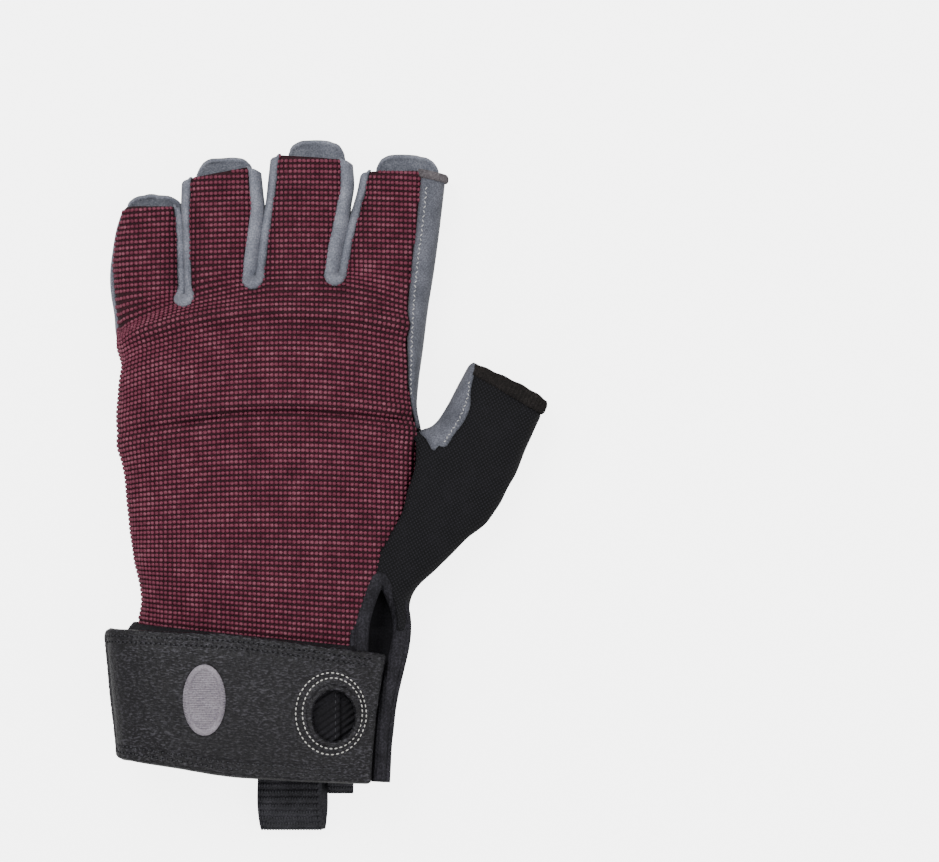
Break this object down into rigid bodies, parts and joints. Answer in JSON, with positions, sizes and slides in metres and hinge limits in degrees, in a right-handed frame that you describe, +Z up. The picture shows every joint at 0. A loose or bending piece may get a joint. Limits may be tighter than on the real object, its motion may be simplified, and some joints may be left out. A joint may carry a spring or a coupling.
{
  "type": "half-finger climbing glove",
  "caption": "Half-finger climbing glove for the left hand: ribbed woven back, suede palm, knit thumb, vented elastic cuff, leather wrist strap with a clip hole, webbing pull loop.",
  "frame": {"origin": "middle of the glove's footprint, on the surface that its palm lies on", "axes": "+X towards the thumb, +Y from the cuff to the fingertips, +Z up through the back of the hand"},
  "size_m": [0.1256, 0.197, 0.0306],
  "materials": {
    "woven_maroon": "ribbed stretch weave in maroon, fine thread rows across the hand",
    "grey_suede": "grey synthetic suede, matt short nap with top-stitching",
    "black_knit": "black stretch knit, matt, fine loops",
    "black_elastic": "black woven elastic with fine diagonal ribs",
    "black_leather": "black pebbled leather with a soft sheen",
    "black_webbing": "black ribbed nylon webbing",
    "grey_tab": "darker grey synthetic suede tabs"
  },
  "bodies": {
    "root": {"back_panel": "woven_maroon", "fourchette_little_ring": "grey_suede", "fourchette_ring_middle": "grey_suede", "fourchette_middle_index": "grey_suede", "index_side_panel": "grey_suede", "palm_panel": "grey_suede", "palm_patch": "grey_suede", "thumb_palm": "grey_suede", "thumb_back": "black_knit", "thumb_hem": "black_knit", "finger_tab_little": "grey_tab", "finger_tab_ring": "grey_tab", "finger_tab_middle": "grey_tab", "finger_tab_index": "grey_tab", "cuff_band": "black_elastic", "vent_binding": "black_knit", "wrist_strap": "black_leather", "eyelet_rim": "black_leather", "pull_webbing": "black_webbing", "small_loop_left": "black_webbing", "small_loop_right": "black_webbing"}
  },
  "joints": []
}
